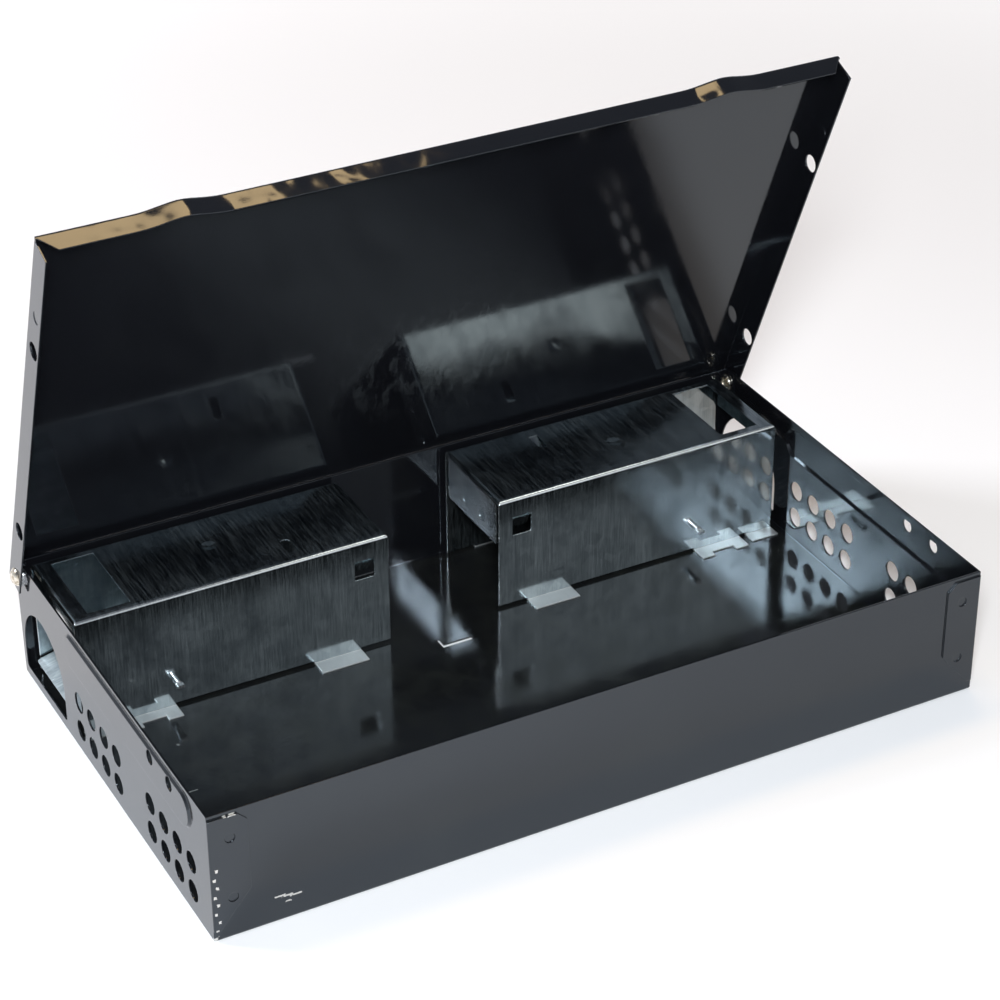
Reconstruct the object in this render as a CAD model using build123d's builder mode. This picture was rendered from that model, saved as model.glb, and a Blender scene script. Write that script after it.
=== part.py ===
"""Low-profile multiple-catch mouse trap station, modelled with its lid open.

Origin: middle of the tray's underside. +X along the length, +Y to the hinged back, +Z up.
Distances named "from front" start at the outer face of the front corner tabs, and
distances named "from end" start at the outer face of the nearer end wall.
"""
from build123d import *
from math import cos, radians, sin
import os

# Tray, folded from one sheet. DEPTH is over the corner tabs.
LENGTH = 267.0
DEPTH = 156.7
HEIGHT = 45.6
BACK_WALL_TOP = 43.4
LID_SWING_START = 1.8
SHEET = 0.6
BEND = 1.2
PAN_DEPTH = DEPTH - 2 * SHEET

# Corner tabs of the end walls, folded round the front and back walls and clinched
TAB_WIDTH = 12.4
TAB_TOP = 44.2
BACK_TAB_TOP = 41.8
TAB_TOP_CHAMFER = 3.0
TAB_FOOT = 4.2
TAB_BEVEL_TOP = 16.6
TAB_BEVEL_FOOT = 2.2
CLINCH_FROM_END = 6.7
CLINCH_HEIGHTS = (15.0, 36.4)
CLINCH_RADIUS = 1.7
CLINCH_DEPTH = 0.45
CLINCH_TAPER = 20
TAB_FOLD_RADIUS = 0.55

# Features of both end walls
VENT_DIAMETER = 7.1
VENT_PITCH_Y = 10.45
VENT_PITCH_Z = 10.6
VENT_MIDDLE_Z = 14.7
VENT_GROUPS_FROM_FRONT = (30.35, 88.7)
RIB_LENGTH = 101.0
RIB_WIDTH = 12.4
RIB_RISE = 0.8
RIB_HOLLOW_INSET = 1.0
PRESS_TAPER = 45
RIB_FROM_FRONT = 62.5
RIB_Z = 37.5
SEAL_HOLE_DIAMETER = 4.8
SEAL_HOLES_FROM_FRONT = (26.5, 41.0)
ENTRY_WIDTH = 36.0
ENTRY_FROM_FRONT = 136.0
ENTRY_SILL = 4.2
ENTRY_SPRING = 13.5
ENTRY_CORNER = 1.5

# L-shaped lanced slit in the floor
SLIT_MIDDLE = -1.1
SLIT_LENGTH = 11.2
SLIT_WIDTH = 1.7
SLIT_FROM_FRONT = 103.5
SLIT_LEG = 5.3
SLIT_LEG_WIDTH = 0.9

# Hinge line and lid
HINGE_FROM_FRONT = 151.5
HINGE_Z = 40.6
LID_OPEN = 67.75
LID_GAP = 0.6
LID_SIDE_CLEARANCE = 0.3
LID_REACH = 153.63
LID_TAIL = 4.6
SIDE_FLANGE = 9.8
FRONT_FLANGE = 7.4
MITRE = 4.9
MITRE_GAP = 0.8
BULGE_RISE = 2.0
BULGE_MIDDLE = 91.5
BULGE_HALF = 15.0
FLANGE_HOLE_DIAMETER = 6.0
FLANGE_HOLES_FROM_FRONT = (41.0, 127.5)
CATCH_FROM_FRONT = 26.5
CATCH_RADIUS = 2.2
CATCH_DEPTH = 0.22
HOLE_LINE_Z = 40.6

# Hinge rivets and the spacers between lid and tray
RIVET_DIAMETER = 3.92
RIVET_BORE = 4.0
RIVET_HEAD_RADIUS = 3.1
RIVET_HEAD_RISE = 1.7
RIVET_ROLL_RADIUS = 2.9
RIVET_ROLL = 1.0
RIVET_PLAY = 0.05
RIVET_SOCKET_RADIUS = 1.2
SPACER_RADIUS = 3.4

# Galvanised tunnels over the entries
TUNNEL_SHEET = 0.5
TUNNEL_BEND = 1.4
TUNNEL_START = 4.0
TUNNEL_END = 113.0
TUNNEL_WIDTH = 39.0
TUNNEL_TOP = 42.7
TUNNEL_FROM_FRONT = 133.8
WALL_FOOT_Z = 1.7
OUTER_BAND_Z = 32.6
INNER_BAND_Z = 25.5
BAND_GAP = 1.6
WINDOW_START = 9.8
WINDOW_END = 24.2
WINDOW_WIDTH = 32.4
DIMPLE_FROM_END = 59.0
DIMPLE_SIDE = 2.4
DIMPLE_BALL = 10.0
DIMPLE_DEPTH = 0.35
TONGUE_FROM_END = 81.7
TONGUE_ROOT = 14.0
TONGUE_LENGTH = 8.0
TONGUE_WIDTH = 3.4
TONGUE_CORNER = 1.0
TONGUE_LEAN = 35.0
LANCE_GAP = 0.25
FLAP_SIZE = 7.0
FLAP_ROOT_OVERLAP = 0.1
FLAP_FROM_TUNNEL_END = 8.8
FLAP_MIDDLE_Z = 32.0
FLAP_LEAN = 28.0
BAND_DIMPLE_RADIUS = 1.9
BAND_DIMPLE_PITCH = 11.8
BAND_DIMPLE_Z = 31.5
BAND_DIMPLE_SIDE = -4.6
FEET_FROM_END = ((17.0, 35.7), (85.0, 102.0))
NEAR_FOOT = 6.5
FAR_FOOT = 1.5
NOTCH_WIDTH = 8.6
NOTCH_DEPTH = 2.4
SMALL_FOOT = (TUNNEL_START, 14.4, 5.0)

# Treadles and their pivot rods
PIVOT_FROM_END = 36.0
PIVOT_Z = 11.0
TREADLE_SLOPE = 14.0
TREADLE_WIDTH = 36.4
TREADLE_SHEET = 0.5
TREADLE_OUTER = 33.6
TREADLE_INNER = 29.5
TREADLE_LIFT = 3.3
TREADLE_CORNER = 1.5
EAR_ROOT = (-11.0, 7.0)
EAR_STOP = (-10.0, -8.0)
EAR_STOP_LENGTH = 4.0
EAR_TOE = (4.0, -3.2)
ROD_DIAMETER = 2.0
ROD_RUNNING_BORE = 2.12
ROD_HEAD_RADIUS = 1.9
ROD_HEAD_RISE = 0.8
ROD_STUB = 5.0
PINCH_LENGTH = 2.0
PINCH_WIDTH = 2.8
PINCH_THICKNESS = 1.1

# Places worked out from the dimensions above
HINGE_Y = HINGE_FROM_FRONT - DEPTH / 2
HINGE_AXIS = Axis((0, HINGE_Y, HINGE_Z), (1, 0, 0))
LID_INSIDE_Z = HEIGHT + LID_GAP
LID_TOP_Z = LID_INSIDE_Z + SHEET
LID_WIDTH = LENGTH + 2 * (RIB_RISE + LID_SIDE_CLEARANCE + SHEET)
FLANGE_INSIDE = LID_WIDTH / 2 - SHEET
LID_FRONT_Y = HINGE_Y - LID_REACH
LID_BACK_Y = HINGE_Y + LID_TAIL
TUNNEL_Y = TUNNEL_FROM_FRONT - DEPTH / 2
TUNNEL_LENGTH = TUNNEL_END - TUNNEL_START
TUNNEL_MIDDLE = (TUNNEL_START + TUNNEL_END) / 2


def from_front(distance):
    """Y of a feature measured from the front of the tray."""
    return distance - DEPTH / 2


def end_frame(side):
    """Frame of one end's mechanism: local X runs inwards from the end wall, along the tunnel."""
    return Plane(origin=(side * LENGTH / 2, TUNNEL_Y, 0), x_dir=(-side, 0, 0), z_dir=(0, 0, 1))


def cut_end_walls():
    """Vents, seal holes, rivet bores and entries, cut through both end walls at once."""
    with BuildSketch(Plane.YZ) as round_holes:
        for middle in VENT_GROUPS_FROM_FRONT:
            with Locations((from_front(middle), VENT_MIDDLE_Z)):
                with GridLocations(VENT_PITCH_Y, VENT_PITCH_Z, 4, 2):
                    Circle(VENT_DIAMETER / 2)
        with Locations([(from_front(place), HOLE_LINE_Z) for place in SEAL_HOLES_FROM_FRONT]):
            Circle(SEAL_HOLE_DIAMETER / 2)
        with Locations((HINGE_Y, HINGE_Z)):
            Circle(RIVET_BORE / 2)
    extrude(round_holes.sketch, amount=LENGTH, both=True, mode=Mode.SUBTRACT)
    with BuildSketch(Plane.YZ) as entry:
        with Locations((from_front(ENTRY_FROM_FRONT), ENTRY_SPRING)):
            Circle(ENTRY_WIDTH / 2)
            Rectangle(ENTRY_WIDTH, ENTRY_WIDTH, align=(Align.CENTER, Align.MAX), mode=Mode.SUBTRACT)
            Rectangle(ENTRY_WIDTH, ENTRY_SPRING - ENTRY_SILL, align=(Align.CENTER, Align.MAX))
        fillet(entry.vertices().group_by(Axis.Y)[0], ENTRY_CORNER)
    extrude(entry.sketch, amount=LENGTH, both=True, mode=Mode.SUBTRACT)


def press_end_rib(side):
    """Stiffening rib pressed outwards along the top of an end wall."""
    outside = Plane(origin=(side * LENGTH / 2, from_front(RIB_FROM_FRONT), RIB_Z),
                    x_dir=(0, 1, 0), z_dir=(side, 0, 0))
    with BuildSketch(outside) as crest:
        SlotOverall(RIB_LENGTH, RIB_WIDTH)
    extrude(crest.sketch, amount=RIB_RISE, taper=PRESS_TAPER)
    with BuildSketch(outside.offset(-SHEET)) as hollow:
        SlotOverall(RIB_LENGTH - RIB_HOLLOW_INSET, RIB_WIDTH - RIB_HOLLOW_INSET)
    extrude(hollow.sketch, amount=RIB_RISE, taper=PRESS_TAPER, mode=Mode.SUBTRACT)


def fold_corner_tabs(facing, top):
    """End-wall tabs folded over the front (facing 1) or back (facing -1) wall, with clinches."""
    inner_edge = LENGTH / 2 - TAB_WIDTH
    with BuildSketch(Plane.XZ.offset(facing * PAN_DEPTH / 2)) as tabs:
        with BuildLine():
            Polyline(
                (LENGTH / 2, TAB_FOOT),
                (LENGTH / 2 - TAB_BEVEL_FOOT, TAB_FOOT),
                (inner_edge, TAB_BEVEL_TOP),
                (inner_edge, top - TAB_TOP_CHAMFER),
                (inner_edge + TAB_TOP_CHAMFER, top),
                (LENGTH / 2, top),
                close=True,
            )
        make_face()
        mirror(about=Plane.YZ)
    extrude(tabs.sketch, amount=facing * SHEET)
    clinches = [(side * (LENGTH / 2 - CLINCH_FROM_END), height)
                for side in (-1, 1) for height in CLINCH_HEIGHTS]
    with BuildSketch(Plane.XZ.offset(facing * DEPTH / 2)) as hollows:
        with Locations(clinches):
            Circle(CLINCH_RADIUS)
    extrude(hollows.sketch, amount=-facing * CLINCH_DEPTH, taper=CLINCH_TAPER, mode=Mode.SUBTRACT)
    with BuildSketch(Plane.XZ.offset(facing * (PAN_DEPTH / 2 - SHEET))) as buttons:
        with Locations(clinches):
            Circle(CLINCH_RADIUS)
    extrude(buttons.sketch, amount=-facing * CLINCH_DEPTH, taper=CLINCH_TAPER)


def is_tab_fold(edge):
    """True for the upright outer edge of a corner tab."""
    middle = edge.center()
    return abs(abs(middle.X) - LENGTH / 2) < 0.01 and abs(abs(middle.Y) - DEPTH / 2) < 0.01


def make_tray():
    """Black enamelled pan with vents, entries, ribs and clinched corners."""
    with BuildPart() as tray:
        with BuildSketch(Plane.XY):
            Rectangle(LENGTH, PAN_DEPTH)
        extrude(amount=HEIGHT)
        fillet(tray.faces().sort_by(Axis.Z)[0].edges(), BEND)
        offset(amount=-SHEET, openings=tray.faces().sort_by(Axis.Z)[-1])
        with BuildSketch(Plane.YZ):
            with BuildLine():
                Polyline(
                    (HINGE_Y + LID_SWING_START, HEIGHT),
                    (PAN_DEPTH / 2 - SHEET, BACK_WALL_TOP),
                    (DEPTH, BACK_WALL_TOP),
                    (DEPTH, HEIGHT + SHEET),
                    (HINGE_Y + LID_SWING_START, HEIGHT + SHEET),
                    close=True,
                )
            make_face()
        extrude(amount=LENGTH, both=True, mode=Mode.SUBTRACT)
        fold_corner_tabs(1, TAB_TOP)
        fold_corner_tabs(-1, BACK_TAB_TOP)
        fillet(tray.edges().filter_by(Axis.Z).filter_by(is_tab_fold), TAB_FOLD_RADIUS)
        for side in (-1, 1):
            press_end_rib(side)
        cut_end_walls()
        slit_left = SLIT_MIDDLE - SLIT_LENGTH / 2
        slit_front = from_front(SLIT_FROM_FRONT) - SLIT_WIDTH / 2
        with BuildSketch(Plane.XY):
            with Locations((slit_left, slit_front)):
                Rectangle(SLIT_LENGTH, SLIT_WIDTH, align=Align.MIN)
                Rectangle(SLIT_LEG_WIDTH, SLIT_LEG, align=Align.MIN)
        extrude(amount=2 * SHEET, mode=Mode.SUBTRACT)
    return tray.part


def lid_outline(inset, back):
    """Lid seen from above: straight sides and two shallow finger bulges in the front edge."""
    half = LID_WIDTH / 2 - inset
    front = LID_FRONT_Y + inset
    near = BULGE_MIDDLE - BULGE_HALF
    far = BULGE_MIDDLE + BULGE_HALF
    with BuildSketch(Plane.XY) as outline:
        with BuildLine():
            for side in (-1, 1):
                Polyline((side * half, back), (side * half, front), (side * far, front))
                Spline(
                    (side * far, front),
                    (side * BULGE_MIDDLE, front - BULGE_RISE),
                    (side * near, front),
                    tangents=((-side, 0), (-side, 0)),
                )
            Line((-near, front), (near, front))
            Line((-half, back), (half, back))
        make_face()
    return outline.sketch


def trim_lid_flanges():
    """Shorten the front flange, mitre its ends and part it from the side flanges."""
    half = LID_WIDTH / 2
    flange_foot = LID_TOP_Z - FRONT_FLANGE
    with BuildSketch(Plane.XZ.offset(-LID_FRONT_Y + BULGE_RISE + SHEET)) as waste:
        with Locations((0, flange_foot)):
            Rectangle(2 * LID_WIDTH, SIDE_FLANGE, align=(Align.CENTER, Align.MAX))
        with BuildLine():
            Polyline(
                (half - SHEET, LID_INSIDE_Z - BEND),
                (half - MITRE, flange_foot),
                (LID_WIDTH, flange_foot),
                (LID_WIDTH, LID_INSIDE_Z - BEND),
                close=True,
            )
        make_face()
        mirror(about=Plane.YZ)
    extrude(waste.sketch, amount=-(BULGE_RISE + 2 * SHEET + MITRE_GAP), mode=Mode.SUBTRACT)


def press_side_flanges():
    """Hinge bores, through holes and the shallow catch dimples of both side flanges."""
    with BuildSketch(Plane.YZ) as holes:
        with Locations([(from_front(place), HOLE_LINE_Z) for place in FLANGE_HOLES_FROM_FRONT]):
            Circle(FLANGE_HOLE_DIAMETER / 2)
        with Locations((HINGE_Y, HINGE_Z)):
            Circle(RIVET_BORE / 2)
    extrude(holes.sketch, amount=LENGTH, both=True, mode=Mode.SUBTRACT)
    for side in (-1, 1):
        outside = Plane(origin=(side * LID_WIDTH / 2, from_front(CATCH_FROM_FRONT), HOLE_LINE_Z),
                        x_dir=(0, 1, 0), z_dir=(side, 0, 0))
        with BuildSketch(outside) as dimple:
            Circle(CATCH_RADIUS)
        extrude(dimple.sketch, amount=-CATCH_DEPTH, taper=PRESS_TAPER, mode=Mode.SUBTRACT)
        with BuildSketch(outside.offset(-SHEET)) as button:
            Circle(CATCH_RADIUS)
        extrude(button.sketch, amount=-CATCH_DEPTH, taper=PRESS_TAPER)


def make_lid():
    """Lid modelled shut, a flat panel with side and front flanges, then swung open."""
    with BuildPart() as lid:
        extrude(Plane.XY.offset(LID_TOP_Z - SIDE_FLANGE) * lid_outline(0, LID_BACK_Y), amount=SIDE_FLANGE)
        top_edges = lid.faces().sort_by(Axis.Z)[-1].edges()
        fillet(top_edges.sort_by(Axis.Y)[:-1], BEND)
        hollow = lid_outline(SHEET, LID_BACK_Y + SHEET)
        extrude(Plane.XY.offset(LID_TOP_Z - 2 * SIDE_FLANGE) * hollow,
                amount=2 * SIDE_FLANGE - SHEET, mode=Mode.SUBTRACT)
        trim_lid_flanges()
        press_side_flanges()
    return lid.part.rotate(HINGE_AXIS, -LID_OPEN)


def make_rivet(side):
    """Domed hinge rivet: head outside the lid flange, shank through the wall, end rolled over."""
    head_face = LID_WIDTH / 2 + RIVET_PLAY
    head_top = head_face + RIVET_HEAD_RISE
    wall_face = LENGTH / 2 - SHEET
    roll_inner = RIVET_ROLL_RADIUS - RIVET_ROLL
    socket_floor = wall_face + RIVET_ROLL
    along_hinge = Plane(origin=(0, HINGE_Y, HINGE_Z), x_dir=(0, 0, 1), z_dir=(0, side, 0))
    with BuildPart() as rivet:
        with BuildSketch(along_hinge):
            with BuildLine():
                Polyline((0, head_top), (0, socket_floor), (RIVET_SOCKET_RADIUS, socket_floor),
                         (RIVET_SOCKET_RADIUS, wall_face), (roll_inner, wall_face - RIVET_ROLL / 2))
                ThreePointArc(
                    (roll_inner, wall_face - RIVET_ROLL / 2),
                    (RIVET_ROLL_RADIUS - RIVET_ROLL / 2, wall_face - RIVET_ROLL),
                    (RIVET_ROLL_RADIUS, wall_face),
                )
                Polyline((RIVET_ROLL_RADIUS, wall_face), (RIVET_DIAMETER / 2, wall_face),
                         (RIVET_DIAMETER / 2, head_face), (RIVET_HEAD_RADIUS, head_face))
                TangentArc((0, head_top), (RIVET_HEAD_RADIUS, head_face), tangent=(1, 0))
            make_face()
        revolve(axis=HINGE_AXIS)
    return rivet.part


def make_spacer(side):
    """Flat washer that holds the lid flange clear of the end wall's rib."""
    wall = Plane(origin=(side * LENGTH / 2, HINGE_Y, HINGE_Z), z_dir=(side, 0, 0))
    with BuildPart() as spacer:
        with BuildSketch(wall):
            Circle(SPACER_RADIUS)
            Circle(RIVET_BORE / 2, mode=Mode.SUBTRACT)
        extrude(amount=FLANGE_INSIDE - LENGTH / 2 - RIVET_PLAY)
    return spacer.part


def trim_tunnel_ends():
    """Open both ends below their bands and part each band from the side walls."""
    inside = TUNNEL_WIDTH - 2 * TUNNEL_SHEET
    gap_top = TUNNEL_TOP - TUNNEL_BEND
    for end, inward, band_foot in ((TUNNEL_START, 1, OUTER_BAND_Z), (TUNNEL_END, -1, INNER_BAND_Z)):
        with BuildSketch(Plane.YZ.offset(end)) as mouth:
            with Locations((0, WALL_FOOT_Z)):
                Rectangle(inside, gap_top - WALL_FOOT_Z, align=(Align.CENTER, Align.MIN))
            with Locations((0, band_foot)):
                Rectangle(inside - 2 * BAND_GAP, TUNNEL_TOP, align=(Align.CENTER, Align.MIN),
                          mode=Mode.SUBTRACT)
        extrude(mouth.sketch, amount=inward * TUNNEL_SHEET, mode=Mode.SUBTRACT)


def bend_tongue(root, width, length):
    """Tongue lanced from a slot of this size: local X along its root, local Y to its free end."""
    with BuildSketch(root) as tongue:
        Rectangle(width - 2 * LANCE_GAP, length - 2 * LANCE_GAP, align=(Align.CENTER, Align.MIN))
        fillet(tongue.vertices().group_by(Axis.Y)[-1], TONGUE_CORNER)
    extrude(tongue.sketch, amount=TUNNEL_SHEET / 2, both=True)


def cut_tunnel_roof():
    """Window over the entry, round dimple, and the slot its stop tongue is bent down from."""
    roof_middle = TUNNEL_TOP - TUNNEL_SHEET / 2
    with BuildSketch(Plane.XY.offset(TUNNEL_TOP)) as openings:
        with Locations(((WINDOW_START + WINDOW_END) / 2, 0)):
            Rectangle(WINDOW_END - WINDOW_START, WINDOW_WIDTH)
        with Locations((TONGUE_FROM_END, -TONGUE_ROOT)):
            Rectangle(TONGUE_WIDTH, TONGUE_LENGTH - TONGUE_WIDTH / 2, align=(Align.CENTER, Align.MIN))
        with Locations((TONGUE_FROM_END, TONGUE_LENGTH - TONGUE_WIDTH / 2 - TONGUE_ROOT)):
            Circle(TONGUE_WIDTH / 2)
    extrude(openings.sketch, amount=-2 * TUNNEL_SHEET, mode=Mode.SUBTRACT)
    with Locations((DIMPLE_FROM_END, DIMPLE_SIDE, TUNNEL_TOP + DIMPLE_BALL - DIMPLE_DEPTH)):
        Sphere(DIMPLE_BALL, mode=Mode.SUBTRACT)
    root = Plane(origin=(TONGUE_FROM_END, -TONGUE_ROOT - TUNNEL_SHEET / 4, roof_middle), x_dir=(1, 0, 0),
                 z_dir=(0, sin(radians(TONGUE_LEAN)), cos(radians(TONGUE_LEAN))))
    bend_tongue(root, TONGUE_WIDTH, TONGUE_LENGTH)


def cut_tunnel_walls():
    """Square lanced flaps near the inner end, rod holes, and dimples in the inner band."""
    half = TUNNEL_WIDTH / 2
    flap_middle = TUNNEL_END - FLAP_FROM_TUNNEL_END
    flap_root_z = FLAP_MIDDLE_Z + FLAP_SIZE / 2 + FLAP_ROOT_OVERLAP
    with BuildSketch(Plane.XZ) as openings:
        with Locations((flap_middle, FLAP_MIDDLE_Z)):
            Rectangle(FLAP_SIZE, FLAP_SIZE)
        with Locations((PIVOT_FROM_END, PIVOT_Z)):
            Circle(ROD_DIAMETER / 2)
    extrude(openings.sketch, amount=half, both=True, mode=Mode.SUBTRACT)
    lean = radians(FLAP_LEAN)
    for wall in (-1, 1):
        root = Plane(origin=(flap_middle, wall * (half - TUNNEL_SHEET / 2), flap_root_z),
                     x_dir=(-wall, 0, 0), z_dir=(0, -wall * cos(lean), sin(lean)))
        bend_tongue(root, FLAP_SIZE, FLAP_SIZE)
    with BuildSketch(Plane.YZ.offset(TUNNEL_END)) as dimples:
        with Locations((BAND_DIMPLE_SIDE, BAND_DIMPLE_Z)):
            with GridLocations(BAND_DIMPLE_PITCH, 0, 3, 1):
                Circle(BAND_DIMPLE_RADIUS)
    extrude(dimples.sketch, amount=-TUNNEL_SHEET / 2, taper=CLINCH_TAPER, mode=Mode.SUBTRACT)


def fold_tunnel_feet(near):
    """Feet folded outwards from the wall bottoms: long on the open side, short at the back."""
    inner = TUNNEL_WIDTH / 2 - TUNNEL_SHEET
    for wall, reach in ((near, NEAR_FOOT), (-near, FAR_FOOT)):
        strips = [(start, end, reach) for start, end in FEET_FROM_END]
        if wall == near:
            strips.append(SMALL_FOOT)
        for start, end, depth in strips:
            length = end - start
            with BuildSketch(Plane.XY.offset(SHEET)) as sole:
                with Locations(((start + end) / 2, wall * (inner + (depth + TUNNEL_SHEET) / 2))):
                    Rectangle(length, depth + TUNNEL_SHEET)
            extrude(sole.sketch, amount=TUNNEL_SHEET)
            with BuildSketch(Plane.XY.offset(SHEET)) as web:
                with Locations(((start + end) / 2, wall * (inner + TUNNEL_SHEET / 2))):
                    Rectangle(length, TUNNEL_SHEET)
            extrude(web.sketch, amount=WALL_FOOT_Z)
    notch_side = near * (TUNNEL_WIDTH / 2 + NEAR_FOOT - NOTCH_DEPTH / 2)
    with BuildSketch(Plane.XY) as notch:
        with Locations((sum(FEET_FROM_END[0]) / 2, notch_side)):
            Rectangle(NOTCH_WIDTH, NOTCH_DEPTH)
    extrude(notch.sketch, amount=2 * SHEET, mode=Mode.SUBTRACT)


def make_tunnel(near):
    """Galvanised tunnel in its end frame; near is the sign of local Y on its open side."""
    with BuildPart() as tunnel:
        with BuildSketch(Plane.XY.offset(WALL_FOOT_Z)):
            with Locations((TUNNEL_MIDDLE, 0)):
                Rectangle(TUNNEL_LENGTH, TUNNEL_WIDTH)
        extrude(amount=TUNNEL_TOP - WALL_FOOT_Z)
        fillet(tunnel.faces().sort_by(Axis.Z)[-1].edges(), TUNNEL_BEND)
        offset(amount=-TUNNEL_SHEET, openings=tunnel.faces().sort_by(Axis.Z)[0])
        trim_tunnel_ends()
        cut_tunnel_roof()
        cut_tunnel_walls()
        fold_tunnel_feet(near)
    return tunnel.part


def make_treadle():
    """See-saw floor of a tunnel, modelled level about its pivot, with two ears for the rod."""
    ear_side = TREADLE_WIDTH / 2
    treadle_top = TREADLE_LIFT + TREADLE_SHEET
    with BuildPart() as treadle:
        with BuildSketch(Plane.XY.offset(TREADLE_LIFT)):
            with Locations(((TREADLE_INNER - TREADLE_OUTER) / 2, 0)):
                RectangleRounded(TREADLE_INNER + TREADLE_OUTER, TREADLE_WIDTH, TREADLE_CORNER)
        extrude(amount=TREADLE_SHEET)
        for side in (-1, 1):
            with BuildSketch(Plane.XZ.offset(side * (ear_side - TREADLE_SHEET))):
                with BuildLine():
                    Polyline(
                        (EAR_ROOT[0], treadle_top),
                        EAR_STOP,
                        (EAR_STOP[0] + EAR_STOP_LENGTH, EAR_STOP[1]),
                        EAR_TOE,
                        (EAR_ROOT[1], treadle_top),
                        close=True,
                    )
                make_face()
            extrude(amount=side * TREADLE_SHEET)
        with BuildSketch(Plane.XZ):
            Circle(ROD_RUNNING_BORE / 2)
        extrude(amount=TREADLE_WIDTH, both=True, mode=Mode.SUBTRACT)
    return treadle.part.rotate(Axis.Y, -TREADLE_SLOPE)


def make_rod(near):
    """Pivot rod: its domed head is at the back and its pinched end stands out at the front."""
    half = TUNNEL_WIDTH / 2
    pinch_start = half + ROD_STUB - PINCH_LENGTH
    with BuildPart() as rod:
        with BuildSketch(Plane.YZ):
            with BuildLine():
                Polyline(
                    (-half, ROD_HEAD_RADIUS),
                    (-half, ROD_DIAMETER / 2),
                    (pinch_start, ROD_DIAMETER / 2),
                    (pinch_start + PINCH_THICKNESS / 2, 0),
                    (-half - ROD_HEAD_RISE, 0),
                )
                TangentArc((-half - ROD_HEAD_RISE, 0), (-half, ROD_HEAD_RADIUS), tangent=(0, 1))
            make_face()
        revolve(axis=Axis.Y)
        with BuildSketch(Plane.XZ.offset(-pinch_start)):
            SlotOverall(PINCH_WIDTH, PINCH_THICKNESS)
        extrude(amount=-PINCH_LENGTH)
    if near < 0:
        return rod.part.rotate(Axis.Z, 180)
    return rod.part


def export_piece(piece, name):
    """Label a finished piece and write it as its own STEP file."""
    piece.label = name
    export_step(piece, f"parts/{name}.step")


os.makedirs("parts", exist_ok=True)
export_piece(make_tray(), "tray")
export_piece(make_lid(), "lid")
for side, hand in ((-1, "left"), (1, "right")):
    at_pivot = end_frame(side).offset(PIVOT_Z) * Pos(PIVOT_FROM_END, 0, 0)
    export_piece(make_rivet(side), f"hinge_rivet_{hand}")
    export_piece(make_spacer(side), f"hinge_spacer_{hand}")
    export_piece(end_frame(side) * make_tunnel(side), f"tunnel_{hand}")
    export_piece(at_pivot * make_treadle(), f"treadle_{hand}")
    export_piece(at_pivot * make_rod(side), f"pivot_rod_{hand}")
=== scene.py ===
import bpy
import numpy as np
from mathutils import Matrix, Vector


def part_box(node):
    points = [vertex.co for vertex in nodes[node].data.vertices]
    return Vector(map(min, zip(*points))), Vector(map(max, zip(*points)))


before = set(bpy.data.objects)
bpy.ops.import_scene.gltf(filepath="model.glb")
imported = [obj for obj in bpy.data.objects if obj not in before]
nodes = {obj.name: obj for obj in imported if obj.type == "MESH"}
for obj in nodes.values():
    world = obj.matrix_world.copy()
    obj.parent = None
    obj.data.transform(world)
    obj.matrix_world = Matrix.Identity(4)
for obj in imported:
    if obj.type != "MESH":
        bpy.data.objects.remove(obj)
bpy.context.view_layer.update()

MM = 0.001


# ---------------------------------------------------------------- finishes
# Every finish below is a small tree of nodes. Value lets its maths be written as plain
# expressions, and Finish.node is the one way in which any other node is added.
class Value:
    """One output of a finish's nodes; arithmetic on it adds a Math node."""

    def __init__(self, finish, socket):
        self.finish = finish
        self.socket = socket

    def math(self, operation, first, second=0.0):
        return self.finish.node("ShaderNodeMath", {"operation": operation}, {0: first, 1: second})

    def __add__(self, other):
        return self.math("ADD", self, other)

    def __sub__(self, other):
        return self.math("SUBTRACT", self, other)

    def __rsub__(self, other):
        return self.math("SUBTRACT", other, self)

    def __mul__(self, other):
        return self.math("MULTIPLY", self, other)

    def __abs__(self):
        return self.math("ABSOLUTE", self)

    __radd__ = __add__
    __rmul__ = __mul__

    def larger(self, other):
        return self.math("MAXIMUM", self, other)

    def smaller(self, other):
        return self.math("MINIMUM", self, other)

    def ramp(self, low, high, to_low=0.0, to_high=1.0):
        """A smooth step: to_low up to low, to_high from high on."""
        limits = {"From Min": low, "From Max": high, "To Min": to_low, "To Max": to_high}
        return self.finish.node(
            "ShaderNodeMapRange", {"interpolation_type": "SMOOTHSTEP"}, {"Value": self, **limits}
        )


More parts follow.
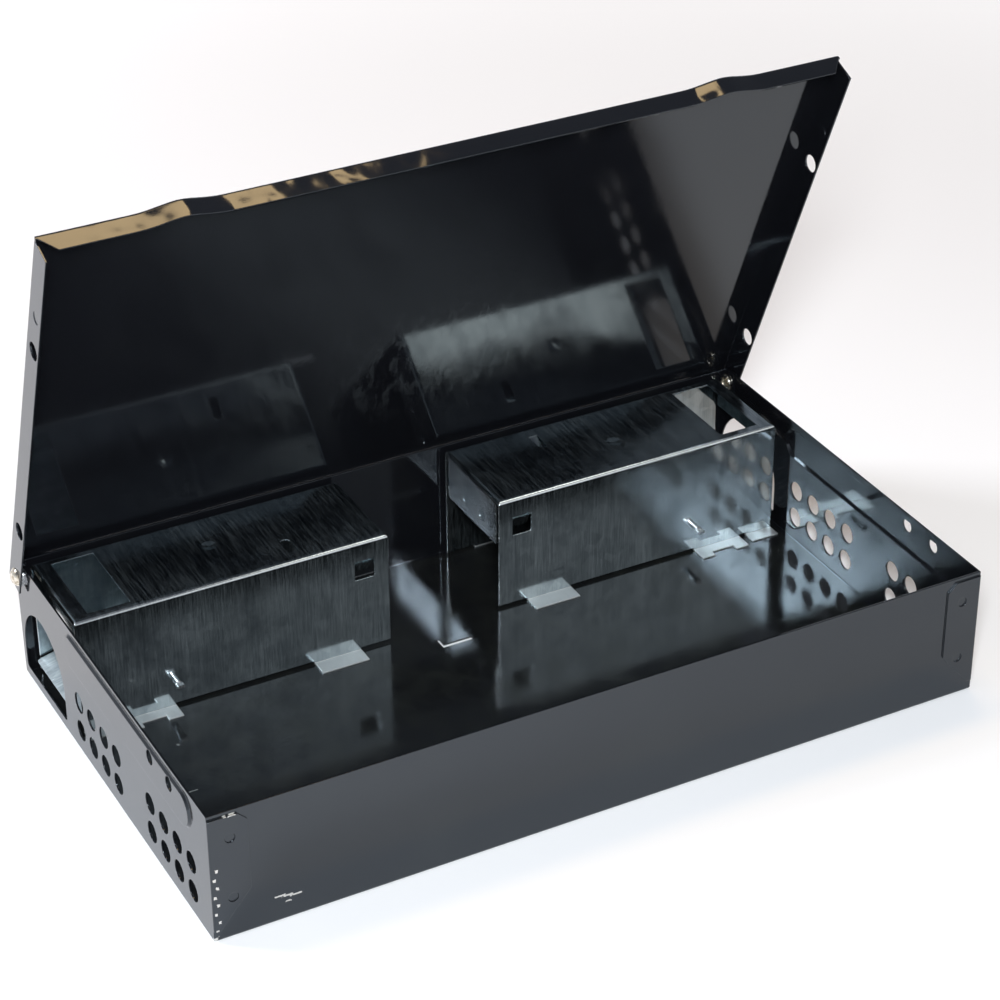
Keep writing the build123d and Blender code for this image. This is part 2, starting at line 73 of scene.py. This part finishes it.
class Finish:
    """A material made of nodes, with the place on the piece as x, y and z in metres."""

    def __init__(self, name):
        self.material = bpy.data.materials.new(name)
        self.material.use_nodes = True
        self.tree = self.material.node_tree
        self.tree.nodes.clear()
        self.place = self.node("ShaderNodeTexCoord", out="Object")
        self.x, self.y, self.z = (
            self.node("ShaderNodeSeparateXYZ", {}, {"Vector": self.place}, out=axis) for axis in "XYZ"
        )

    def node(self, kind, settings=None, inputs=None, out=0):
        """Adds a node: its settings first, then the values or links of its sockets."""
        added = self.tree.nodes.new(kind)
        for name, setting in (settings or {}).items():
            setattr(added, name, setting)
        for name, value in (inputs or {}).items():
            if isinstance(value, Value):
                self.tree.links.new(value.socket, added.inputs[name])
            else:
                added.inputs[name].default_value = value
        return Value(self, added.outputs[out])

    def noise(self, scale, detail=2.0, stretch=(1, 1, 1), roughness=0.5):
        """Soft noise of that many cells a metre, drawn out along an axis by a stretch below 1."""
        where = self.node("ShaderNodeMapping", {}, {"Vector": self.place, "Scale": stretch})
        amounts = {"Vector": where, "Scale": scale, "Detail": detail, "Roughness": roughness}
        return self.node("ShaderNodeTexNoise", {}, amounts)

    def blend(self, factor, first, second):
        """Goes from the first colour to the second as the factor goes from 0 to 1."""
        colours = {0: factor, 6: first, 7: second}
        return self.node("ShaderNodeMix", {"data_type": "RGBA"}, colours, out=2)

    def bump(self, height, depth, strength=1.0, under=None):
        """Turns a height of 0 to 1 into a relief of that depth in metres, over another relief."""
        relief = {"Height": height, "Distance": depth, "Strength": strength}
        if under is not None:
            relief["Normal"] = under
        return self.node("ShaderNodeBump", {}, relief, out="Normal")

    def near(self, value, centre, half, soft):
        """1 where value is within half of centre, falling to 0 over a distance of soft."""
        return abs(value - centre).ramp(half, half + soft, 1.0, 0.0)

    def surface(self, **inputs):
        """Finishes the tree with a Principled surface."""
        names = {name.replace("_", " "): value for name, value in inputs.items()}
        shader = self.node("ShaderNodeBsdfPrincipled", {}, names)
        output = self.tree.nodes.new("ShaderNodeOutputMaterial")
        self.tree.links.new(shader.socket, output.inputs["Surface"])

    def cover(self, *names):
        """Gives the finish to every slot of these CAD pieces."""
        for name in names:
            for slot in nodes[name].material_slots:
                slot.material = self.material


# ---------------------------------------------------------------- tray
# One folded blank of thin steel: floor, walls and corner tabs. It is dipped in gloss black
# stoving enamel, which thins and chips at the sharp folds, and gathers dust on the floor.
TRAY_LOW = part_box("tray")[0]
EDGE_RADIUS = 0.35 * MM
SOFT_EDGE = 1.0 * MM
FLOOR_FADE = (1.0 * MM, 3.0 * MM)
FLOOR_HALF_LENGTH = 131.0 * MM
FLOOR_HALF_DEPTH = 75.5 * MM
ENAMEL_BLACK = (0.0045, 0.0048, 0.0062, 1)
ENAMEL_DUSTY = (0.012, 0.013, 0.012, 1)
ENAMEL_GLOSS = (0.80, 0.90, 1.0, 1)
ENAMEL_IOR = 1.62
BARE_STEEL = (0.62, 0.61, 0.58, 1)


def start_enamel(name):
    """Black enamel: an orange-peel ripple of about a millimetre over the slow waves of thin
    sheet, a gloss that smudges dull, and paint drawn round over sharp edges. Returns the finish
    with its relief and its smudges."""
    finish = Finish(name)
    waves = finish.noise(14, detail=1)
    peel = finish.noise(620, detail=2)
    grit = finish.noise(2600, detail=1)
    soft_edge = finish.node("ShaderNodeBevel", {"samples": 6}, {"Radius": EDGE_RADIUS})
    relief = finish.bump(waves, 0.35 * MM, 0.5, soft_edge)
    relief = finish.bump(peel, 0.012 * MM, 0.55, relief)
    relief = finish.bump(grit, 0.003 * MM, 0.5, relief)
    smudge = finish.noise(38, detail=5, roughness=0.62).ramp(0.45, 0.72)
    return finish, relief, smudge


def wear_spots(finish, spots):
    """Chips of paint: for each (x, y, z, reach along x, y, z) an uneven blob, all in mm."""
    ragged = finish.noise(1500, detail=3) * 1.5 + 0.25
    worn = None
    for *centre, reach_x, reach_y, reach_z in spots:
        parts = zip((finish.x, finish.y, finish.z), centre, (reach_x, reach_y, reach_z))
        far = None
        for value, middle, reach in parts:
            step = abs(value - middle * MM) * (1 / (reach * MM))
            far = step if far is None else far.larger(step)
        chip = (far * ragged).ramp(0.75, 0.95, 1.0, 0.0)
        worn = chip if worn is None else worn.larger(chip)
    return worn


FRONT = TRAY_LOW.y / MM
FLOOR_TOP = 0.6
CORNER_X = -132.0
CORNER_CHIPS = 8
CHIPS_FROM = 26.0
CHIP_STEP = 3.1
CHIP_WANDER = 0.45
RIM_NICKS = 2
RIM_NICK_X = -128.0
RIM_NICK_Z = 44.25
RIM_NICK_STEP = 2.2
SCRATCH_X = -112.5
SCRATCH_Z = 9.3
SCRATCH_DASHES = 3
DASH_STEP = 2.8
DASH_DROP = 0.5
NICK_BELOW = 2.6
FLOOR_SCRATCH = (-111.0, -8.5)
FLOOR_DOT = (-105.5, 16.0)


def worn_places():
    """Chips in even steps down the left front corner with the largest at its foot, nicks on
    the corner tab's rim, a dashed scratch low on the front wall, and two marks on the floor."""
    spots = [(CORNER_X - 1.0, FRONT, 1.0, 1.0, 1.2, 0.9)]
    for count in range(CORNER_CHIPS):
        x = CORNER_X + CHIP_WANDER * (-1) ** count
        spots.append((x, FRONT, CHIPS_FROM - CHIP_STEP * count, 0.5, 1.0, 0.6))
    for count in range(RIM_NICKS):
        x = RIM_NICK_X + RIM_NICK_STEP * count
        spots.append((x, FRONT, RIM_NICK_Z, 0.5 + 0.6 * count, 1.5, 0.35))
    for count in range(SCRATCH_DASHES):
        x = SCRATCH_X + DASH_STEP * count
        spots.append((x, FRONT, SCRATCH_Z - DASH_DROP * count, 1.9, 1.5, 0.35))
    spots.append((SCRATCH_X + DASH_STEP, FRONT, SCRATCH_Z - NICK_BELOW, 0.9, 1.5, 0.3))
    spots.append((*FLOOR_SCRATCH, FLOOR_TOP, 1.9, 0.25, 0.5))
    spots.append((*FLOOR_DOT, FLOOR_TOP, 0.5, 0.5, 0.5))
    return spots


tray_paint, relief, smudge = start_enamel("tray_enamel")
chips = wear_spots(tray_paint, worn_places())
on_floor = tray_paint.z.ramp(*FLOOR_FADE, 1.0, 0.0)
between_ends = tray_paint.near(tray_paint.x, 0, FLOOR_HALF_LENGTH, SOFT_EDGE)
inside = between_ends * tray_paint.near(tray_paint.y, 0, FLOOR_HALF_DEPTH, SOFT_EDGE)
dust = tray_paint.noise(70, detail=6, roughness=0.7).ramp(0.35, 0.75, 0.25, 1.0) * on_floor * inside
specks = tray_paint.noise(900, detail=2).ramp(0.70, 0.78) * 0.6
film = (dust + specks * on_floor * inside + smudge * 0.25).smaller(1.0)
colour = tray_paint.blend(film, ENAMEL_BLACK, ENAMEL_DUSTY)
tray_paint.surface(
    Base_Color=tray_paint.blend(chips, colour, BARE_STEEL),
    Metallic=chips,
    Roughness=(0.085 + smudge * 0.07 + dust * 0.05).larger(chips * 0.38),
    IOR=ENAMEL_IOR,
    Specular_Tint=ENAMEL_GLOSS,
    Normal=relief,
)
tray_paint.cover("tray")


# ---------------------------------------------------------------- lid
# One folded panel with a flange on three sides, in the same enamel. Its inner face shows
# hand marks, and its front flange is dented by handling. Reach is measured from the hinge
# along the open lid, and across is measured outwards through its thickness.
SMEAR = (0.018, 0.020, 0.022, 1)
HINGE_Y = 73.15 * MM
HINGE_Z = 40.6 * MM
LID_OPEN = np.radians(67.75)
FLANGE_REACH = 152.6 * MM
FLANGE_FADE = 0.8 * MM
DENT_DEPTH = 1.8 * MM
INNER_FACE = (5.8 * MM, 6.0 * MM)
PALM_X = 12 * MM
PALM_HALF_WIDTH = 16 * MM
PALM_SOFT_WIDTH = 34 * MM
PALM_REACH = 52 * MM
PALM_HALF_REACH = 8 * MM
PALM_SOFT_REACH = 24 * MM
lid_paint, relief, smudge = start_enamel("lid_enamel")
reach = (HINGE_Y - lid_paint.y) * np.cos(LID_OPEN) + (lid_paint.z - HINGE_Z) * np.sin(LID_OPEN)
on_flange = reach.ramp(FLANGE_REACH, FLANGE_REACH + FLANGE_FADE)
dents = lid_paint.noise(42, detail=2, roughness=0.5)
relief = lid_paint.bump(dents * on_flange, DENT_DEPTH, 0.8, relief)
hand_marks = lid_paint.noise(55, detail=6, roughness=0.75).ramp(0.58, 0.80)
lint = lid_paint.noise(1100, detail=2).ramp(0.72, 0.80)
across = (lid_paint.y - HINGE_Y) * np.sin(LID_OPEN) + (lid_paint.z - HINGE_Z) * np.cos(LID_OPEN)
inner_face = across.ramp(*INNER_FACE, 1.0, 0.0)
palm = lid_paint.near(lid_paint.x, PALM_X, PALM_HALF_WIDTH, PALM_SOFT_WIDTH)
palm = palm * lid_paint.near(reach, PALM_REACH, PALM_HALF_REACH, PALM_SOFT_REACH) * inner_face
smears = lid_paint.noise(330, detail=5, stretch=(1, 0.35, 0.35), roughness=0.7)
smears = smears.ramp(0.50, 0.62) * palm
colour = lid_paint.blend(hand_marks * 0.35 + lint * 0.5, ENAMEL_BLACK, ENAMEL_DUSTY)
colour = lid_paint.blend(smears, colour, SMEAR)
lid_paint.surface(
    Base_Color=colour,
    Roughness=0.07 + smudge * 0.05 + hand_marks * 0.08 + smears * 0.06,
    IOR=ENAMEL_IOR,
    Specular_Tint=ENAMEL_GLOSS,
    Normal=relief,
)
lid_paint.cover("lid")


# ---------------------------------------------------------------- tunnels
# Two covers of bright galvanised sheet. The rolling lines run over each from side to side,
# faint zinc flowers lie under them, and a painted highlight makes the sheared edges, the top
# folds and the foot of the walls paler than the faces.
ZINC = (0.31, 0.365, 0.39, 1)
ZINC_PALE = (0.58, 0.66, 0.69, 1)
ZINC_DULL = (0.24, 0.29, 0.32, 1)
# The pale colour of the painted highlights on the tunnels' edges and folds.
ZINC_PAINTED_HIGHLIGHT = (0.80, 0.82, 0.82, 1)
TUNNEL_HALF = 19.5 * MM
CUT_HALF = 0.06 * MM
CUT_SOFT = 0.05 * MM
FOLD_HALF = (0.5 * MM, 0.6 * MM)
FOLD_SOFT = (0.6 * MM, 0.8 * MM)
FOOT_TOP = (1.12 * MM, 1.25 * MM)


def start_zinc(name, grain=(1, 0.04, 0.04)):
    """Galvanised sheet: hard streaks along the rolling direction, cells of zinc flowers a few
    millimetres wide, dull stains, and a white bloom that lies thickest in the streaks and
    scatters light. The grain gives the direction across the streaks."""
    finish = Finish(name)
    streaks = finish.noise(2000, detail=3, stretch=grain, roughness=0.75)
    broad = finish.noise(240, detail=2, stretch=grain)
    flowers = finish.node(
        "ShaderNodeTexVoronoi", {}, {"Vector": finish.place, "Scale": 230.0}, out="Color"
    )
    flower = finish.node("ShaderNodeSeparateColor", {}, {"Color": flowers})
    stain = finish.noise(45, detail=5, roughness=0.65).ramp(0.42, 0.70)
    waves = finish.noise(22, detail=1)
    soft_edge = finish.node("ShaderNodeBevel", {"samples": 6}, {"Radius": EDGE_RADIUS})
    relief = finish.bump(waves, 0.5 * MM, 0.5, soft_edge)
    relief = finish.bump(streaks, 0.003 * MM, 0.7, relief)
    relief = finish.bump(flower, 0.0015 * MM, 0.4, relief)
    tone = streaks * 0.6 + broad * 0.35 + flower * 0.15
    colour = finish.blend(tone.ramp(0.30, 0.78), ZINC, ZINC_PALE)
    colour = finish.blend(stain * 0.5, colour, ZINC_DULL)
    rough = 0.03 + streaks * 0.12 + stain * 0.09 + flower * 0.02
    patches = finish.noise(30, detail=4, roughness=0.6).ramp(0.35, 0.65, 0.25, 1.0)
    bloom = streaks.ramp(0.36, 0.70) * patches
    return finish, colour, rough, relief, bloom


for hand in ("left", "right"):
    low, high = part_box(f"tunnel_{hand}")
    zinc, colour, rough, relief, bloom = start_zinc(f"tunnel_{hand}_zinc")
    end_cut_highlight = zinc.near(zinc.x, low.x, CUT_HALF, CUT_SOFT)
    end_cut_highlight = end_cut_highlight.larger(zinc.near(zinc.x, high.x, CUT_HALF, CUT_SOFT))
    treadle_low, treadle_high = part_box(f"treadle_{hand}")
    middle_y = (treadle_low.y + treadle_high.y) / 2
    fold_highlight = zinc.near(abs(zinc.y - middle_y), TUNNEL_HALF, FOLD_HALF[0], FOLD_SOFT[0])
    fold_highlight = fold_highlight * zinc.near(zinc.z, high.z, FOLD_HALF[1], FOLD_SOFT[1])
    foot = zinc.z.ramp(*FOOT_TOP, 1.0, 0.0)
    # Painted highlight: the sheared ends, the top folds and the foot of the walls are blended towards
    # a pale colour that stands in for the light they catch; the foot is also rougher and less
    # metallic.
    colour = zinc.blend(end_cut_highlight.larger(fold_highlight * 0.6).larger(foot * 0.8), colour, ZINC_PAINTED_HIGHLIGHT)
    rough = rough.larger(foot * 0.38)
    zinc.surface(
        Base_Color=colour,
        Metallic=1.0 - (bloom * 0.06).larger(foot * 0.16),
        Roughness=rough,
        Normal=relief,
    )
    zinc.cover(f"tunnel_{hand}")


# ---------------------------------------------------------------- treadles
# The see-saw floors in the tunnels, of the same galvanised sheet with its grain along the
# tunnel, scratched by feet and paler than the covers.
treadle_zinc, colour, rough, relief, bloom = start_zinc("treadle_zinc", grain=(0.04, 1, 0.04))
scuff = treadle_zinc.noise(900, detail=4, stretch=(0.15, 1, 0.15)).ramp(0.60, 0.70)
treadle_zinc.surface(
    Base_Color=treadle_zinc.blend(scuff * 0.6, colour, ZINC_PALE),
    Metallic=0.35 - bloom * 0.20,
    Roughness=rough + scuff * 0.12 + 0.10,
    Normal=relief,
)
treadle_zinc.cover("treadle_left", "treadle_right")


# ---------------------------------------------------------------- pivot rods and spacers
# Rods with pinched ends that carry the treadles, and the flat washers under the lid's
# flanges, both in bright zinc plate with fine drawing marks.
PLATE_DULL = (0.63, 0.65, 0.67, 1)
PLATE_BRIGHT = (0.78, 0.79, 0.80, 1)
plate = Finish("bright_zinc_plate")
marks = plate.noise(2400, detail=3)
plate.surface(
    Base_Color=plate.blend(marks.ramp(0.4, 0.7), PLATE_DULL, PLATE_BRIGHT),
    Metallic=1.0,
    Roughness=0.2 + marks * 0.15,
    Normal=plate.bump(marks, 0.004 * MM, 0.5),
)
plate.cover("pivot_rod_left", "pivot_rod_right", "hinge_spacer_left", "hinge_spacer_right")


# ---------------------------------------------------------------- hinge rivets
# Domed rivets in a worn plating that has yellowed a little. The dome is turned, so it has
# fine rings round its axis, and the rolled end inside shows tool marks.
RIVET_WARM = (0.74, 0.69, 0.60, 1)
RIVET_TARNISH = (0.42, 0.36, 0.27, 1)
RINGS_PER_METRE = 26000.0
rivet = Finish("rivet_plating")
low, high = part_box("hinge_rivet_left")
axis_y = (low.y + high.y) / 2
axis_z = (low.z + high.z) / 2
spread = rivet.node(
    "ShaderNodeVectorMath",
    {"operation": "LENGTH"},
    {0: rivet.node("ShaderNodeCombineXYZ", {}, {"Y": rivet.y - axis_y, "Z": rivet.z - axis_z})},
    out="Value",
)
rings = rivet.node("ShaderNodeMath", {"operation": "SINE"}, {0: spread * RINGS_PER_METRE})
tarnish = rivet.noise(900, detail=4).ramp(0.42, 0.68)
rivet.surface(
    Base_Color=rivet.blend(tarnish, RIVET_WARM, RIVET_TARNISH),
    Metallic=1.0,
    Roughness=0.20 + tarnish * 0.22,
    Normal=rivet.bump(rings, 0.002 * MM, 0.5),
)
rivet.cover("hinge_rivet_left", "hinge_rivet_right")


# ---------------------------------------------------------------- floor
# A plain pale matte table under the trap, large enough to fill every view. A painted glow,
# emitted by the table itself, brightens it a little away from the trap, like a seamless sheet
# that is lit from behind. The glow fades in between two squared distances from the trap, in square
# metres.
FLOOR_HALF = 9.0
TABLE_GREY = (0.91, 0.91, 0.92, 1)
TABLE_PALE = (0.94, 0.94, 0.95, 1)
UNLIT = (0, 0, 0, 1)
PAINTED_GLOW = (0.94, 0.97, 1.0, 1)
PAINTED_GLOW_FADE = (0.08, 0.70)
signs = [(-1, -1), (1, -1), (1, 1), (-1, 1)]
corners = [(x * FLOOR_HALF, y * FLOOR_HALF, TRAY_LOW.z) for x, y in signs]
floor_mesh = bpy.data.meshes.new("floor")
floor_mesh.from_pydata(corners, [], [(0, 1, 2, 3)])
floor = bpy.data.objects.new("floor", floor_mesh)
bpy.context.scene.collection.objects.link(floor)
table = Finish("pale_table")
cloud = table.noise(3, detail=3)
# How strongly the painted glow shows: none near the trap, growing further away.
far = (table.x * table.x + table.y * table.y).ramp(*PAINTED_GLOW_FADE)
table.surface(
    Base_Color=table.blend(cloud, TABLE_GREY, TABLE_PALE),
    Roughness=0.75,
    IOR=1.3,
    # The table glows by itself: this emission is a painted glow, not a lamp.
    Emission_Color=table.blend(far, UNLIT, PAINTED_GLOW),
    Emission_Strength=0.42,
)
floor_mesh.materials.append(table.material)


# ---------------------------------------------------------------- lights and surround
# A soft lamp close above the viewer, a warm panel overhead behind the trap, and a surround
# that is pale round the horizon and dim above.
def soft_lamp(name, place, aim, size, radiance, colour):
    """A rectangular lamp at place that faces aim; radiance is what a mirror shows of it."""
    data = bpy.data.lights.new(name, "AREA")
    data.shape = "RECTANGLE"
    data.size, data.size_y = size
    data.energy = radiance * size[0] * size[1] * np.pi
    data.color = colour
    lamp = bpy.data.objects.new(name, data)
    facing = (Vector(aim) - Vector(place)).to_track_quat("-Z", "Y").to_matrix().to_4x4()
    lamp.matrix_world = Matrix.Translation(place) @ facing
    bpy.context.scene.collection.objects.link(lamp)


soft_lamp("key", (-0.44, -0.83, 0.78), (0, 0, 0.03), (0.24, 0.24), 84, (0.93, 0.97, 1.0))
soft_lamp("warm_panel", (0.12, 0.42, 1.38), (0.12, 0.42, 0.0), (0.64, 0.24), 7.4, (1.0, 0.66, 0.32))
soft_lamp("overhead", (0.53, -0.36, 1.20), (0.03, 0.02, 0.04), (0.46, 0.16), 4.2, (1.0, 0.97, 0.90))
soft_lamp("front_panel", (0.85, -1.45, 0.98), (0.0, 0.0, 0.05), (0.90, 0.55), 1.0, (1.0, 0.98, 0.95))
soft_lamp("left_lamp", (-0.75, 0.55, 0.80), (-0.30, 0.12, 0.0), (0.36, 0.36), 19, (0.91, 0.93, 1.0))

HORIZON = (0.92, 0.95, 1.0, 1)
OVERHEAD = (0.14, 0.15, 0.175, 1)
PALE_UP_TO = 0.05
DIM_FROM = 0.56
surround = bpy.data.worlds.new("surround")
bpy.context.scene.world = surround
surround.use_nodes = True
sky = surround.node_tree
backdrop = sky.nodes["Background"]
direction = sky.nodes.new("ShaderNodeTexCoord")
split = sky.nodes.new("ShaderNodeSeparateXYZ")
rise = sky.nodes.new("ShaderNodeMapRange")
rise.interpolation_type = "SMOOTHSTEP"
rise.inputs["From Min"].default_value = PALE_UP_TO
rise.inputs["From Max"].default_value = DIM_FROM
shade = sky.nodes.new("ShaderNodeMix")
shade.data_type = "RGBA"
shade.inputs[6].default_value = HORIZON
shade.inputs[7].default_value = OVERHEAD
sky.links.new(direction.outputs["Generated"], split.inputs["Vector"])
sky.links.new(split.outputs["Z"], rise.inputs["Value"])
sky.links.new(rise.outputs["Result"], shade.inputs[0])
sky.links.new(shade.outputs[2], backdrop.inputs["Color"])


# ---------------------------------------------------------------- camera
# A long lens above the left front corner, looking down on the open lid.
CAMERA_PLACE = (-0.36273, -0.68646, 0.54554)
CAMERA_AZIMUTH = -27.977
CAMERA_ELEVATION = 31.519
CAMERA_ROLL = -0.264
SENSOR_WIDTH = 36.0
FOCAL_LENGTH = 104.03
azimuth, elevation, roll = np.radians((CAMERA_AZIMUTH, CAMERA_ELEVATION, CAMERA_ROLL))
turn = (
    Matrix.Rotation(azimuth, 4, "Z")
    @ Matrix.Rotation(np.pi / 2 - elevation, 4, "X")
    @ Matrix.Rotation(roll, 4, "Z")
)
lens = bpy.data.cameras.new("camera")
lens.sensor_width = SENSOR_WIDTH
lens.lens = FOCAL_LENGTH
lens.clip_start = 0.01
camera = bpy.data.objects.new("camera", lens)
camera.matrix_world = Matrix.Translation(CAMERA_PLACE) @ turn
bpy.context.scene.collection.objects.link(camera)
bpy.context.scene.camera = camera
bpy.context.scene.view_settings.view_transform = "Standard"
